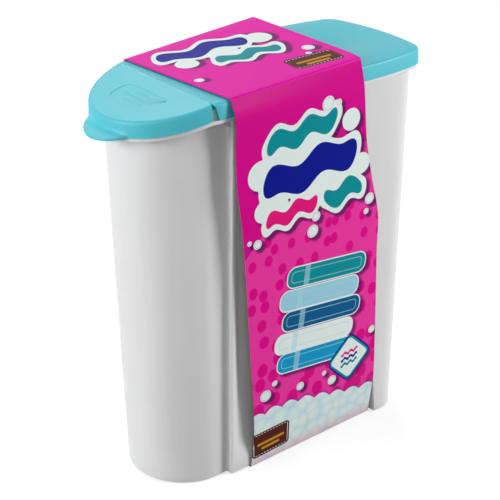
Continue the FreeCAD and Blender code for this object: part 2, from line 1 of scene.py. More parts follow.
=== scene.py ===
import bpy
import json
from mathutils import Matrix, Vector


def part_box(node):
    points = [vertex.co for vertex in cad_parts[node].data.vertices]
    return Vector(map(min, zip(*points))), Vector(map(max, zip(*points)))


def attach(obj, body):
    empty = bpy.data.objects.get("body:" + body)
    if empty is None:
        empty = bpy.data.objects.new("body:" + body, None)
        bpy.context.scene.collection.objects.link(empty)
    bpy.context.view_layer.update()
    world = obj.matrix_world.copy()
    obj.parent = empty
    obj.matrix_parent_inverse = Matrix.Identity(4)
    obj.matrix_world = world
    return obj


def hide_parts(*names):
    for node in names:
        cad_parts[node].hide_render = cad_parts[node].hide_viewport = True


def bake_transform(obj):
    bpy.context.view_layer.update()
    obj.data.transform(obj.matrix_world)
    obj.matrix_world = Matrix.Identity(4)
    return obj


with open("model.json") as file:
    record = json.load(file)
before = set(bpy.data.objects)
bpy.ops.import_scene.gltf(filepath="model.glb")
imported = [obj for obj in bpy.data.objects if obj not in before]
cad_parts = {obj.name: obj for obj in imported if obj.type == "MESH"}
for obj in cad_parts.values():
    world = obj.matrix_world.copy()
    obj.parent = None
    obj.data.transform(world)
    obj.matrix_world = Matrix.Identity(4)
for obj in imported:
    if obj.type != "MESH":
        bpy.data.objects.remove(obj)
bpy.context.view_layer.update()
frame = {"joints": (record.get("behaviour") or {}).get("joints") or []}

import json
import math

import bmesh
import bpy
from mathutils import Matrix, Vector

# Shared sizes in metres. All but the lean are read from the frame.
lidLow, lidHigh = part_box("lid")
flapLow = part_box("pour_flap")[0]
tubLow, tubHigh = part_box("container")
top = lidHigh.z
skirt = lidHigh.z - lidLow.z
lean = 0.05              # outward lean of the skirt, per metre of depth
halfWidth = lidHigh.y - lean * skirt
rearReach = lidHigh.x - lean * skirt
tabReach = -flapLow.x
hingeReach = -frame["joints"][0]["pos_m"][0]

cap = {
    "hinge": hingeReach, "slope": 13.6, "noseReach": 0.09, "noseStart": 0.05, "shoulder": 0.026,
    "sideEnd": 0.045, "sideRadius": 0.16, "corner": 0.01, "endRadius": 0.13,
    "wall": 0.0015, "round": 0.0015, "slit": 0.0008,
}
fallRate = math.tan(math.radians(cap["slope"]))


# Outlines: an outline is a list of arcs (x, y, radius, start, sweep, steps) joined by straight edges

def polar(x, y):
    return math.degrees(math.atan2(y, x))


def mirrored(arcs):
    return [(x, -y, radius, -start - sweep, sweep, steps)
            for x, y, radius, start, sweep, steps in arcs[::-1]]


def noseArcs(reach, start, half, shoulder, steps=48):
    # Shoulder arc and nose arc of a round front end, from the straight side to the middle.
    depth, across = reach - start, half - shoulder
    radius = (depth ** 2 + across ** 2 - shoulder ** 2) / (2 * (depth - shoulder))
    turn = polar(depth - radius, across) - 90
    side = (-start, across, shoulder, 90, turn, 4)
    nose = (radius - reach, 0, radius, 90 + turn, 180 - 2 * turn, steps)
    return side, nose


def capArcs():
    # The lid's plan: straight sides, a round nose, gently curved rear sides and a shallow end.
    side, nose = noseArcs(cap["noseReach"], cap["noseStart"], halfWidth, cap["shoulder"])
    sideMid = Vector((cap["sideEnd"], halfWidth - cap["sideRadius"]))
    endMid = Vector((rearReach - cap["endRadius"], 0))
    nearReach, farReach = cap["sideRadius"] - cap["corner"], cap["endRadius"] - cap["corner"]
    span = endMid - sideMid
    along = (nearReach ** 2 - farReach ** 2 + span.length ** 2) / (2 * span.length)
    out = math.sqrt(nearReach ** 2 - along ** 2)
    way = span.normalized()
    cornerMid = sideMid + way * along + Vector((way.y, -way.x)) * out
    sideTurn = polar(*(cornerMid - sideMid))
    endTurn = polar(*(cornerMid - endMid))
    half = [
        (*cornerMid, cap["corner"], endTurn, sideTurn - endTurn, 10),
        (*sideMid, cap["sideRadius"], sideTurn, 90 - sideTurn, 8),
        side,
    ]
    end = (*endMid, cap["endRadius"], -endTurn, 2 * endTurn, 16)
    return half + [nose] + mirrored(half) + [end]


def roundBox(x, y, halfX, halfY, radii, steps=6):
    # radii is one radius, or four from the corner at +x +y, going round anticlockwise.
    corners = ((1, 1, 0), (-1, 1, 90), (-1, -1, 180), (1, -1, 270))
    radii = radii if isinstance(radii, tuple) else (radii,) * 4
    return [(x + sx * (halfX - radius), y + sy * (halfY - radius), radius, start, 90, steps)
            for (sx, sy, start), radius in zip(corners, radii)]


def easedCorners(points, setbacks, steps=4):
    # Arcs that round the inner corners of a run of straight lines, each by its own setback.
    arcs = []
    for before, corner, after, setback in zip(points, points[1:], points[2:], setbacks):
        inward = (Vector(corner) - Vector(before)).normalized()
        outward = (Vector(after) - Vector(corner)).normalized()
        turn = math.degrees(math.atan2(inward.cross(outward), inward.dot(outward)))
        radius = setback / math.tan(math.radians(abs(turn)) / 2)
        side = 1 if turn > 0 else -1
        begin = Vector(corner) - inward * setback
        middle = begin + Vector((-inward.y, inward.x)) * radius * side
        arcs.append((*middle, radius, polar(*(begin - middle)), turn, steps))
    return arcs


def layLoop(bm, arcs, level, inset=0.0):
    # Lays a closed outline: each arc is spun from its first point and tied to the next by an edge.
    count = len(bm.edges)
    first = last = None
    for x, y, radius, start, sweep, steps in arcs:
        reach = radius - math.copysign(1, sweep) * inset
        begin = math.radians(start)
        place = (x + reach * math.cos(begin), y + reach * math.sin(begin), level)
        vert = bmesh.ops.create_vert(bm, co=place)["vert"][0]
        spun = bmesh.ops.spin(bm, geom=[vert], cent=(x, y, level), axis=(0, 0, 1),
                              angle=math.radians(sweep), steps=steps, use_duplicate=False)
        if last:
            bm.edges.new((last, vert))
        first = first or vert
        last = pick(spun["geom_last"], bmesh.types.BMVert)[0]
    bm.edges.new((last, first))
    bm.edges.ensure_lookup_table()
    return bm.edges[count:]


def ease(share):
    return share * share * (3 - 2 * share)


def mixed(a, b, share):
    return a + (b - a) * share


def quarterRound(radius, steps=4):
    # Insets and rises of an edge rounded by a quarter turn, from the flat to the wall.
    turns = [math.radians(90 * step / steps) for step in range(steps + 1)]
    return [(radius * (1 - math.sin(turn)), radius * (1 - math.cos(turn))) for turn in turns]


def loopVerts(loop):
    return {vert for edge in loop for vert in edge.verts}


def bridge(bm, loops):
    # Faces between neighbouring loops, drawn apart first because flat neighbours would pair wrongly.
    levels = {vert: vert.co.z for loop in loops for vert in loopVerts(loop)}
    for index, loop in enumerate(loops):
        bmesh.ops.translate(bm, vec=(0, 0, index), verts=list(loopVerts(loop)))
    for lower, upper in zip(loops, loops[1:]):
        bmesh.ops.bridge_loops(bm, edges=lower + upper)
    for vert, level in levels.items():
        vert.co.z = level


def fillLoop(bm, *loops):
    # One flat face inside a loop, or a ring of flat faces between two.
    edges = [edge for loop in loops for edge in loop]
    if len(loops) == 1:
        bmesh.ops.edgeloop_fill(bm, edges=edges)
    else:
        bmesh.ops.triangle_fill(bm, use_beauty=True, use_dissolve=False, edges=edges)


def pick(items, kind):
    return [item for item in items if isinstance(item, kind)]


def everything(bm):
    return bm.verts[:] + bm.edges[:] + bm.faces[:]


def keepSide(bm, x, way):
    # Cuts the piece at x, keeps the side that way points to and closes the cut.
    cut = bmesh.ops.bisect_plane(bm, geom=everything(bm), dist=1e-7, plane_co=(x, 0, 0),
                                 plane_no=(-way, 0, 0), clear_outer=True)
    rim = pick(cut["geom_cut"], bmesh.types.BMEdge)
    bmesh.ops.holes_fill(bm, edges=rim, sides=0)


def fallInFront(bm, above=-1.0):
    # In front of the hinge line everything drops with the flap's slope, and the skirt leans on.
    bmesh.ops.bisect_plane(bm, geom=everything(bm), dist=1e-7, plane_co=(-cap["hinge"], 0, 0),
                           plane_no=(1, 0, 0))
    for vert in bm.verts:
        if vert.co.x < -cap["hinge"] and vert.co.z > above:
            vert.co.z -= (-cap["hinge"] - vert.co.x) * fallRate


def leanOut(bm):
    # The skirt goes on leaning outward where the slope takes it lower.
    for vert in bm.verts:
        fall = max(-cap["hinge"] - vert.co.x, 0) * fallRate
        vert.co.x -= lean * fall
        vert.co.y += math.copysign(lean * fall * abs(vert.co.y) / halfWidth, vert.co.y)


def finishPiece(name, bm, body, node, material, bevel=0.0003, sharp=28, segments=3):
    # Outward normals, smooth faces with sharp edges kept, a small rounded edge, and its place in the frame.
    bmesh.ops.remove_doubles(bm, verts=bm.verts, dist=1e-6)
    bmesh.ops.recalc_face_normals(bm, faces=bm.faces)
    for face in bm.faces:
        face.smooth = True
    for edge in bm.edges:
        edge.smooth = len(edge.link_faces) == 2 and edge.calc_face_angle(0) < math.radians(sharp)
    piece = meshPiece(name, bm)
    piece.data.materials.append(material)
    if bevel:
        soft = piece.modifiers.new("softEdge", "BEVEL")
        soft.width = bevel
        soft.segments = segments
        soft.limit_method = "ANGLE"
        soft.angle_limit = math.radians(sharp)
        soft.harden_normals = True
    if body:
        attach(piece, body)
    if node:
        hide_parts(node)
    return piece


def meshPiece(name, bm):
    mesh = bpy.data.meshes.new(name)
    bm.to_mesh(mesh)
    bm.free()
    piece = bpy.data.objects.new(name, mesh)
    bpy.context.scene.collection.objects.link(piece)
    return piece


# Nodes: short helpers that add one node and give its output back

def wired(tree, node, values, output=0):
    for socket, value in zip(node.inputs, values):
        feed(tree, socket, value)
    return node.outputs[output]


def feed(tree, socket, value):
    if isinstance(value, bpy.types.NodeSocket):
        tree.links.new(value, socket)
    else:
        socket.default_value = value


def reckon(tree, operation, *values, clamp=False):
    node = tree.nodes.new("ShaderNodeMath")
    node.operation = operation
    node.use_clamp = clamp
    return wired(tree, node, values)


def times(tree, first, second, clamp=False):
    return reckon(tree, "MULTIPLY", first, second, clamp=clamp)


def less(tree, first, second):
    return reckon(tree, "SUBTRACT", first, second)


def reckonVector(tree, operation, *values):
    node = tree.nodes.new("ShaderNodeVectorMath")
    node.operation = operation
    return wired(tree, node, values, "Value" if operation in ("LENGTH", "DISTANCE") else "Vector")


def split(tree, vector):
    node = tree.nodes.new("ShaderNodeSeparateXYZ")
    tree.links.new(vector, node.inputs[0])
    return node.outputs[0], node.outputs[1]


def pair(tree, across, up):
    return wired(tree, tree.nodes.new("ShaderNodeCombineXYZ"), (across, up))


def cells(tree, point, scale, feature="F1", scatter=1.0):
    node = tree.nodes.new("ShaderNodeTexVoronoi")
    node.voronoi_dimensions = "2D"
    node.feature = feature
    node.inputs["Scale"].default_value = scale
    node.inputs["Randomness"].default_value = scatter
    tree.links.new(point, node.inputs["Vector"])
    return node.outputs["Distance"]


def noise(tree, point, scale, detail=2.0, roughness=0.5):
    node = tree.nodes.new("ShaderNodeTexNoise")
    feed(tree, node.inputs["Vector"], point)
    for word, value in (("Scale", scale), ("Detail", detail), ("Roughness", roughness)):
        node.inputs[word].default_value = value
    return node.outputs["Fac"]


def layer(tree, under, mask, colour):
    # Lays a colour over another one where the mask is 1.
    node = tree.nodes.new("ShaderNodeMix")
    node.data_type = "RGBA"
    for index, value in ((0, mask), (6, under), (7, colour)):
        feed(tree, node.inputs[index], (*value, 1) if isinstance(value, tuple) else value)
    return node.outputs[2]


def newGroup(name, inputs, outputs):
    tree = bpy.data.node_groups.new(name, "ShaderNodeTree")
    for word, kind, value in inputs:
        socket = tree.interface.new_socket(name=word, in_out="INPUT", socket_type="NodeSocket" + kind)
        if value is not None:
            socket.default_value = value
    for word, kind in outputs:
        tree.interface.new_socket(name=word, in_out="OUTPUT", socket_type="NodeSocket" + kind)
    return tree, tree.nodes.new("NodeGroupInput").outputs, tree.nodes.new("NodeGroupOutput").inputs


def place(tree, group, **values):
    node = tree.nodes.new("ShaderNodeGroup")
    node.node_tree = group
    for word, value in values.items():
        feed(tree, node.inputs[word], value)
    return node.outputs


def newMaterial(name, **values):
    mat = bpy.data.materials.new(name)
    mat.use_nodes = True
    shader = mat.node_tree.nodes["Principled BSDF"]
    for word, value in values.items():
        shader.inputs[word.replace("_", " ")].default_value = value
    return mat, mat.node_tree, shader


def objectPoint(tree):
    return tree.nodes.new("ShaderNodeTexCoord").outputs["Object"]


def addBump(tree, shader, height, strength, distance):
    bump = tree.nodes.new("ShaderNodeBump")
    bump.inputs["Strength"].default_value = strength
    bump.inputs["Distance"].default_value = distance
    tree.links.new(height, bump.inputs["Height"])
    tree.links.new(bump.outputs["Normal"], shader.inputs["Normal"])


# Moulded plastic: a fine satin grain, cloudy depth and faint streaks along the draw

grain = {"fine": 1500.0, "cloud": 26.0, "streak": 300.0, "draw": 0.05, "roughSwing": 0.1}


def makeGrain():
    tree, given, out = newGroup(
        "mouldGrain",
        [("Point", "Vector", None), ("Streaks", "Float", 0.5), ("Roughness", "Float", 0.4)],
        [("Tint", "Float"), ("Roughness", "Float"), ("Height", "Float")])
    fine = noise(tree, given["Point"], grain["fine"], 3.0, 0.6)
    cloudy = noise(tree, given["Point"], grain["cloud"], 3.0)
    drawn = reckonVector(tree, "MULTIPLY", given["Point"], (1, 1, grain["draw"]))
    streaks = noise(tree, drawn, grain["streak"], 3.0)
    streaky = times(tree, less(tree, streaks, 0.5), given["Streaks"])
    tint = reckon(tree, "ADD", cloudy, streaky, clamp=True)
    swing = times(tree, less(tree, fine, 0.5), grain["roughSwing"])
    tree.links.new(tint, out["Tint"])
    tree.links.new(reckon(tree, "ADD", given["Roughness"], swing, clamp=True), out["Roughness"])
    tree.links.new(reckon(tree, "ADD", fine, times(tree, streaky, 2.0)), out["Height"])
    return tree


plastics = {
    "tubPlastic": {"low": (0.71, 0.715, 0.72), "high": (0.77, 0.77, 0.775), "rough": 0.46, "streaks": 0.6,
                   "bump": 0.1, "milk": 0.3, "milkReach": (1.0, 1.0, 1.0)},
    "lidPlastic": {"low": (0.045, 0.48, 0.575), "high": (0.07, 0.525, 0.62), "rough": 0.48,
                   "streaks": 0.2, "bump": 0.07, "milk": 0.1, "milkReach": (0.2, 0.9, 1.0)},
    # the hinge film's lighter colour is partly whitening from bending and partly a painted highlight along
    # the hinge line
    "hingeFilm": {"low": (0.22, 0.64, 0.72), "high": (0.32, 0.72, 0.79), "rough": 0.5, "streaks": 0.0,
                  "bump": 0.05, "milk": 0.1, "milkReach": (0.6, 1.0, 1.0)},
}


def makePlastic(name, grainGroup):
    values = plastics[name]
    mat, tree, shader = newMaterial(name, IOR=1.49, Subsurface_Weight=values["milk"], Subsurface_Scale=0.002,
                                    Subsurface_Radius=values["milkReach"])
    fine = place(tree, grainGroup, Point=objectPoint(tree), Streaks=values["streaks"],
                 Roughness=values["rough"])
    tree.links.new(layer(tree, values["low"], fine["Tint"], values["high"]), shader.inputs["Base Color"])
    tree.links.new(fine["Roughness"], shader.inputs["Roughness"])
    addBump(tree, shader, fine["Height"], values["bump"], 0.0002)
    return mat


# Card: board fibres and a slightly wavy lie, shared by the printed face and the raw inside

board = {"fibre": 900.0, "stretch": (1.0, 1.0, 0.35), "wave": 34.0}


def makeBoard():
    tree, given, out = newGroup("boardFibre", [("Point", "Vector", None)],
                                [("Fleck", "Float"), ("Height", "Float")])
    stretched = reckonVector(tree, "MULTIPLY", given["Point"], board["stretch"])
    fibre = noise(tree, stretched, board["fibre"], 4.0, 0.7)
    wave = noise(tree, given["Point"], board["wave"], 1.0)
    tree.links.new(fibre, out["Fleck"])
    tree.links.new(reckon(tree, "MULTIPLY_ADD", wave, 6.0, fibre), out["Height"])
    return tree


def makeRawCard(boardGroup):
    mat, tree, shader = newMaterial("rawCard", Roughness=0.85, IOR=1.45)
    fibre = place(tree, boardGroup, Point=objectPoint(tree))
    colour = layer(tree, (0.58, 0.55, 0.5), fibre["Fleck"], (0.74, 0.72, 0.68))
    tree.links.new(colour, shader.inputs["Base Color"])
    addBump(tree, shader, fibre["Height"], 0.25, 0.0001)
    return mat


# Print: plain waves, bubbles, folded towels and foam. Places are metres along the card: x, then up the near
# face from the floor and on across the top.

ink = {
    "magenta": (0.7, 0.0, 0.27), "pink": (0.86, 0.04, 0.36), "dots": (0.74, 0.0, 0.25),
    "topMagenta": (0.78, 0.0, 0.385), "purple": (0.2, 0.01, 0.26), "shade": (0.06, 0.002, 0.085),
    "foam": (0.8, 0.9, 0.87), "sky": (0.42, 0.72, 0.83), "navy": (0.0, 0.006, 0.27),
    "teal": (0.0, 0.27, 0.31), "rose": (0.8, 0.006, 0.2), "brown": (0.075, 0.006, 0.002),
    "gold": (0.56, 0.27, 0.01), "deepBlue": (0.0, 0.1, 0.26), "blue": (0.004, 0.32, 0.58),
    "paleBlue": (0.33, 0.64, 0.76),
}
# Wavy bars: middle, half length and half height, turn, wave height, wave length, ink
waves = [
    ((0.004, 0.174), (0.031, 0.008), 9, 0.003, 0.03, "navy"),
    ((-0.008, 0.153), (0.017, 0.004), 9, 0.002, 0.016, "rose"),
    ((-0.002, 0.195), (0.023, 0.005), 9, 0.0024, 0.02, "teal"),
    ((0.026, 0.155), (0.013, 0.0052), 9, 0.0022, 0.018, "teal"),
    ((-0.012, 0.283), (0.025, 0.0056), -5, 0.0028, 0.026, "navy"),
    ((0.0, 0.262), (0.018, 0.0042), -5, 0.0022, 0.018, "teal"),
]
puffs = [(-0.028, 0.178, 0.008), (-0.026, 0.158, 0.006), (0.03, 0.194, 0.006), (0.006, 0.16, 0.009),
         (-0.004, 0.184, 0.011), (0.016, 0.164, 0.01), (0.038, 0.168, 0.006), (-0.02, 0.187, 0.0065),
         (0.007, 0.191, 0.005), (-0.017, 0.1585, 0.0065), (-0.03, 0.272, 0.006),
         (0.018, 0.276, 0.007), (-0.008, 0.272, 0.009)]
bubbles = [(-0.03, 0.141, 0.0026), (-0.035, 0.143, 0.0014), (0.014, 0.206, 0.004), (0.021, 0.205, 0.002),
           (0.045, 0.146, 0.0032), (0.043, 0.139, 0.0017), (0.006, 0.138, 0.0036), (0.008, 0.146, 0.0028),
           (-0.023, 0.046, 0.0036), (-0.017, 0.052, 0.0018),
           (0.024, 0.038, 0.003), (0.018, 0.045, 0.0015), (0.001, 0.043, 0.0026), (0.052, 0.062, 0.0024),
           (0.026, 0.248, 0.0032), (0.021, 0.242, 0.0016), (-0.04, 0.25, 0.0024)]
field = {"divide": 0.166, "slant": 0.6, "bend": -6.0, "dots": 92.0, "scatter": 0.8, "dotSize": 0.43,
         "dotGrowth": -1.3, "dotsTop": 0.15}
towels = {"foot": (0.01, 0.06), "pitch": 0.013, "half": (0.027, 0.0058), "round": 0.0048, "turn": -6,
          "inks": ("blue", "foam", "deepBlue", "paleBlue", "teal"), "shift": 0.0016, "band": 0.014}
badge = {"middle": (0.036, 0.049), "half": (0.0104, 0.0104), "round": 0.003, "turn": 45}
labels = [((-0.018, 0.014), (0.013, 0.0085), 3), ((0.017, 0.234), (0.014, 0.007), -5)]
foam = {"level": 0.028, "swell": 0.006, "swellLength": 0.024, "start": 2.2, "scallop": 0.0028,
        "pitch": 0.0115, "cells": 130.0}
edgeSoft = 0.00022       # width over which one ink gives way to the next
cloudEdge = 0.0032       # white border round a wavy bar
shadeShift = (-0.002, 0.002, 0)


def makeBar():
    # Distance from a rounded, wavy bar's edge, less than 0 inside, and the place along the bar.
    tree, given, out = newGroup(
        "inkBar",
        [("Point", "Vector", None), ("Middle", "Vector", None), ("Half", "Vector", None),
         ("Turn", "Float", 0.0), ("Round", "Float", 0.001), ("Wave", "Float", 0.0),
         ("Length", "Float", 0.02)],
        [("Distance", "Float"), ("Along", "Float")])
    turned = tree.nodes.new("ShaderNodeVectorRotate")
    turned.rotation_type = "Z_AXIS"
    tree.links.new(reckonVector(tree, "SUBTRACT", given["Point"], given["Middle"]), turned.inputs["Vector"])
    tree.links.new(times(tree, given["Turn"], -math.pi / 180), turned.inputs["Angle"])
    along, up = split(tree, turned.outputs[0])
    phase = reckon(tree, "DIVIDE", times(tree, along, 2 * math.pi), given["Length"])
    sway = times(tree, reckon(tree, "SINE", phase), given["Wave"])
    flat = pair(tree, along, less(tree, up, sway))
    edges = reckonVector(tree, "SUBTRACT", reckonVector(tree, "ABSOLUTE", flat), given["Half"])
    edges = reckonVector(tree, "ADD", edges, pair(tree, given["Round"], given["Round"]))
    beyond = reckonVector(tree, "LENGTH", reckonVector(tree, "MAXIMUM", edges, (0, 0, 0)))
    within = reckon(tree, "MINIMUM", reckon(tree, "MAXIMUM", *split(tree, edges)), 0.0)
    distance = less(tree, reckon(tree, "ADD", beyond, within), given["Round"])
    tree.links.new(distance, out["Distance"])
    tree.links.new(along, out["Along"])
    return tree


def inkBar(tree, group, point, middle, half, turn=0.0, rounding=None, wave=0.0, length=0.02):
    return place(tree, group, Point=point, Middle=(*middle, 0), Half=(*half, 0), Turn=turn,
                 Round=half[1] * 0.98 if rounding is None else rounding, Wave=wave, Length=length)


def inside(tree, distance, grow=0.0, soft=edgeSoft):
    # 1 within the shape, 0 outside it. A number or a socket makes the shape grow.
    if isinstance(grow, bpy.types.NodeSocket):
        distance, grow = less(tree, distance, grow), 0.0
    return reckon(tree, "MULTIPLY_ADD", distance, -1 / soft, 0.5 + grow / soft, clamp=True)


def paint(tree, colour, distance, name, grow=0.0, soft=edgeSoft, share=1.0):
    # Lays an ink within the shape, thinly where the share is below 1.
    mask = inside(tree, distance, grow, soft)
    if share < 1:
        mask = times(tree, mask, share)
    return layer(tree, colour, mask, ink[name])


def fromLine(tree, distance, at):
    return reckon(tree, "ABSOLUTE", less(tree, distance, at))


def joined(tree, distances, melt=0.0):
    # One shape made of several, with their meeting corners melted together a little.
    operation = "SMOOTH_MIN" if melt else "MINIMUM"
    total = distances[0]
    for distance in distances[1:]:
        total = reckon(tree, operation, total, distance, melt)
    return total


def discs(tree, point, spots):
    return [less(tree, reckonVector(tree, "DISTANCE", point, (x, y, 0)), radius)
            for x, y, radius in spots]


def makeWhites(bar):
    # Distance from everything that is white with a dark shade behind it.
    tree, given, out = newGroup("whiteShapes", [("Point", "Vector", None)],
                                [("Cloud", "Float"), ("Bubbles", "Float")])
    strokes = [inkBar(tree, bar, given["Point"], *wave[:3], None, *wave[3:5])["Distance"] for wave in waves]
    cloud = [less(tree, stroke, cloudEdge) for stroke in strokes]
    cloud += discs(tree, given["Point"], puffs)
    tree.links.new(joined(tree, cloud, 0.0015), out["Cloud"])
    tree.links.new(joined(tree, discs(tree, given["Point"], bubbles)), out["Bubbles"])
    return tree


def printPoint(tree):
    # Folds the far face's place onto the near face's, so that both carry the same print.
    spot = tree.nodes.new("ShaderNodeUVMap")
    spot.uv_map = "print"
    across, up = split(tree, spot.outputs[0])
    far = reckon(tree, "GREATER_THAN", up, sleeveTop + 2 * halfWidth)
    swapAcross = reckon(tree, "MULTIPLY_ADD", across, -2.0, 2 * sleeve["printMiddle"])
    swapUp = reckon(tree, "MULTIPLY_ADD", up, -2.0, 2 * sleeveTop + 2 * halfWidth)
    return pair(tree, reckon(tree, "MULTIPLY_ADD", far, swapAcross, across),
                reckon(tree, "MULTIPLY_ADD", far, swapUp, up))


def printedField(tree, point, across, up):
    # The magenta ground: darker above a curved purple line, tone on tone dots below it.
    rate = reckon(tree, "MULTIPLY_ADD", across, field["bend"], field["slant"])
    divide = less(tree, up, reckon(tree, "MULTIPLY_ADD", across, rate, field["divide"]))
    onTop = reckon(tree, "GREATER_THAN", up, top)
    colour = paint(tree, ink["pink"], times(tree, divide, -1.0), "magenta", 0, 0.0006)
    leant = reckonVector(tree, "MULTIPLY", point, (1.1, 0.9, 1))
    dots = cells(tree, leant, field["dots"], scatter=field["scatter"])
    reach = reckon(tree, "MULTIPLY_ADD", up, field["dotGrowth"], field["dotSize"])
    spots = inside(tree, dots, reach, 0.05)
    above = less(tree, up, field["dotsTop"])
    low = inside(tree, reckon(tree, "MAXIMUM", divide, above), -0.002, 0.002)
    colour = layer(tree, colour, times(tree, spots, low), ink["dots"])
    colour = paint(tree, colour, fromLine(tree, divide, 0), "purple", 0.0006, share=0.75)
    colour = layer(tree, colour, onTop, ink["topMagenta"])
    faint = times(tree, times(tree, spots, onTop), 0.35)
    return layer(tree, colour, faint, ink["rose"])


def printedTowels(tree, bar, point, shaded, colour):
    footX, footY = towels["foot"]
    lean = math.radians(towels["turn"])
    stack = []
    for index, name in enumerate(towels["inks"]):
        rise = index * towels["pitch"]
        shift = towels["shift"] * (-1) ** index
        middle = (footX - rise * math.sin(lean) + shift, footY + rise * math.cos(lean))
        stack.append((middle, name))
    shape = towels["half"], towels["turn"], towels["round"]
    whole = [inkBar(tree, bar, shaded, middle, *shape)["Distance"] for middle, _ in stack]
    colour = paint(tree, colour, joined(tree, whole), "shade", 0.0012, 0.0022, 0.8)
    for middle, name in stack:
        towel = inkBar(tree, bar, point, middle, *shape)
        colour = paint(tree, colour, towel["Distance"], "foam", 0.0007)
        colour = paint(tree, colour, towel["Distance"], name)
        colour = paint(tree, colour, fromLine(tree, towel["Distance"], -0.0026), "sky", 0.00025, share=0.55)
        band = inside(tree, fromLine(tree, towel["Along"], -towels["band"]), 0.0018)
        band = times(tree, band, inside(tree, towel["Distance"]))
        colour = layer(tree, colour, times(tree, band, 0.5), ink["sky"])
    return colour


def printedFoam(tree, point, across, up, colour):
    turn = reckon(tree, "ADD", reckon(tree, "DIVIDE", across, foam["swellLength"]), foam["start"])
    crest = reckon(tree, "MULTIPLY_ADD", reckon(tree, "SINE", turn), foam["swell"], foam["level"])
    humps = reckon(tree, "SINE", times(tree, across, math.pi / foam["pitch"]))
    crest = reckon(tree, "MULTIPLY_ADD", reckon(tree, "ABSOLUTE", humps), foam["scallop"], crest)
    under = less(tree, up, crest)
    colour = paint(tree, colour, under, "purple", 0.0012, 0.003, 0.6)
    tones = reckon(tree, "POWER", cells(tree, point, foam["cells"]), 1.4)
    lather = layer(tree, ink["foam"], times(tree, tones, 0.8, clamp=True), ink["sky"])
    walls = cells(tree, point, foam["cells"], "DISTANCE_TO_EDGE")
    lather = paint(tree, lather, walls, "paleBlue", 0.04, 0.05, 0.22)
    colour = layer(tree, colour, inside(tree, under), lather)
    return paint(tree, colour, less(tree, up, 0.004), "rose", 0, 0.012, 0.45)


def printedLabel(tree, bar, point, label, colour):
    # A plain brown patch with a row of stitches inside its edge and two gold stripes.
    middle, half, turn = label
    patch = inkBar(tree, bar, point, middle, half, turn, 0.0028)
    colour = paint(tree, colour, patch["Distance"], "brown")
    dash = inside(tree, less(tree, reckon(tree, "PINGPONG", patch["Along"], 0.001), 0.0006))
    row = inside(tree, fromLine(tree, patch["Distance"], -0.0012), 0.000175)
    colour = layer(tree, colour, times(tree, row, dash), ink["foam"])
    for drop, share in ((0.0, 0.72), (0.0034, 0.48)):
        spot, size = (middle[0], middle[1] - drop), (half[0] * share, 0.0009)
        colour = paint(tree, colour, inkBar(tree, bar, point, spot, size, turn, 0.0004)["Distance"], "gold")
    return colour


def printedBadge(tree, bar, point, shaded, colour):
    middle, shape = badge["middle"], (badge["half"], badge["turn"], badge["round"])
    shade = inkBar(tree, bar, shaded, middle, *shape)["Distance"]
    colour = paint(tree, colour, shade, "shade", 0.0014, 0.002, 0.7)
    tile = inkBar(tree, bar, point, middle, *shape)["Distance"]
    for grow, name in ((0.0016, "navy"), (0.0006, "teal"), (-0.0006, "foam")):
        colour = paint(tree, colour, tile, name, grow)
    for lift, name in ((0.0036, "rose"), (0.0, "navy"), (-0.0036, "teal")):
        spot = (middle[0], middle[1] + lift)
        curl = inkBar(tree, bar, point, spot, (0.0062, 0.0009), 6, None, 0.0007, 0.0042)
        colour = paint(tree, colour, curl["Distance"], name)
    return colour


def makePrintedCard(boardGroup):
    mat, tree, shader = newMaterial("printedCard", Roughness=0.36, IOR=1.45, Specular_IOR_Level=0.08)
    bar = makeBar()
    whites = makeWhites(bar)
    point = printPoint(tree)
    across, up = split(tree, point)
    shaded = reckonVector(tree, "ADD", point, shadeShift)
    colour = printedField(tree, point, across, up)
    colour = printedTowels(tree, bar, point, shaded, colour)
    colour = printedFoam(tree, point, across, up, colour)
    behind = place(tree, whites, Point=shaded)
    both = joined(tree, [behind["Cloud"], behind["Bubbles"]])
    colour = paint(tree, colour, both, "shade", 0.0006, 0.0018, 0.85)
    front = place(tree, whites, Point=point)
    for shape in (front["Cloud"], front["Bubbles"]):
        colour = paint(tree, colour, shape, "foam")
    colour = paint(tree, colour, fromLine(tree, front["Bubbles"], -0.0007), "purple", 0.00015, share=0.5)
    for middle, half, turn, wave, length, name in waves:
        stroke = inkBar(tree, bar, point, middle, half, turn, None, wave, length)["Distance"]
        colour = paint(tree, colour, stroke, name)
    colour = printedBadge(tree, bar, point, shaded, colour)
    for label in labels:
        colour = printedLabel(tree, bar, point, label, colour)
    tree.links.new(colour, shader.inputs["Base Color"])
    fibre = place(tree, boardGroup, Point=objectPoint(tree))
    tree.links.new(reckon(tree, "MULTIPLY_ADD", fibre["Fleck"], 0.1, 0.33), shader.inputs["Roughness"])
    addBump(tree, shader, fibre["Height"], 0.12, 0.00015)
    return mat


# Camera

camera = {"place": (-0.3411, -0.4423, 0.396), "aim": (0.0009, 0.0043, 0.1098), "roll": -0.33, "lens": 81.6}


def aimed(place, aim):
    way = (Vector(aim) - Vector(place)).normalized()
    return Matrix.Translation(place) @ way.to_track_quat("-Z", "Y").to_matrix().to_4x4()


def addCamera():
    data = bpy.data.cameras.new("studioCamera")
    data.sensor_width = 36
    data.lens = camera["lens"]
    data.clip_start = 0.01
    data.clip_end = 20
    piece = bpy.data.objects.new("studioCamera", data)
    bpy.context.scene.collection.objects.link(piece)
    roll = Matrix.Rotation(math.radians(camera["roll"]), 4, "Z")
    piece.matrix_world = aimed(camera["place"], camera["aim"]) @ roll
    bpy.context.scene.camera = piece


# Floor, world and lamps

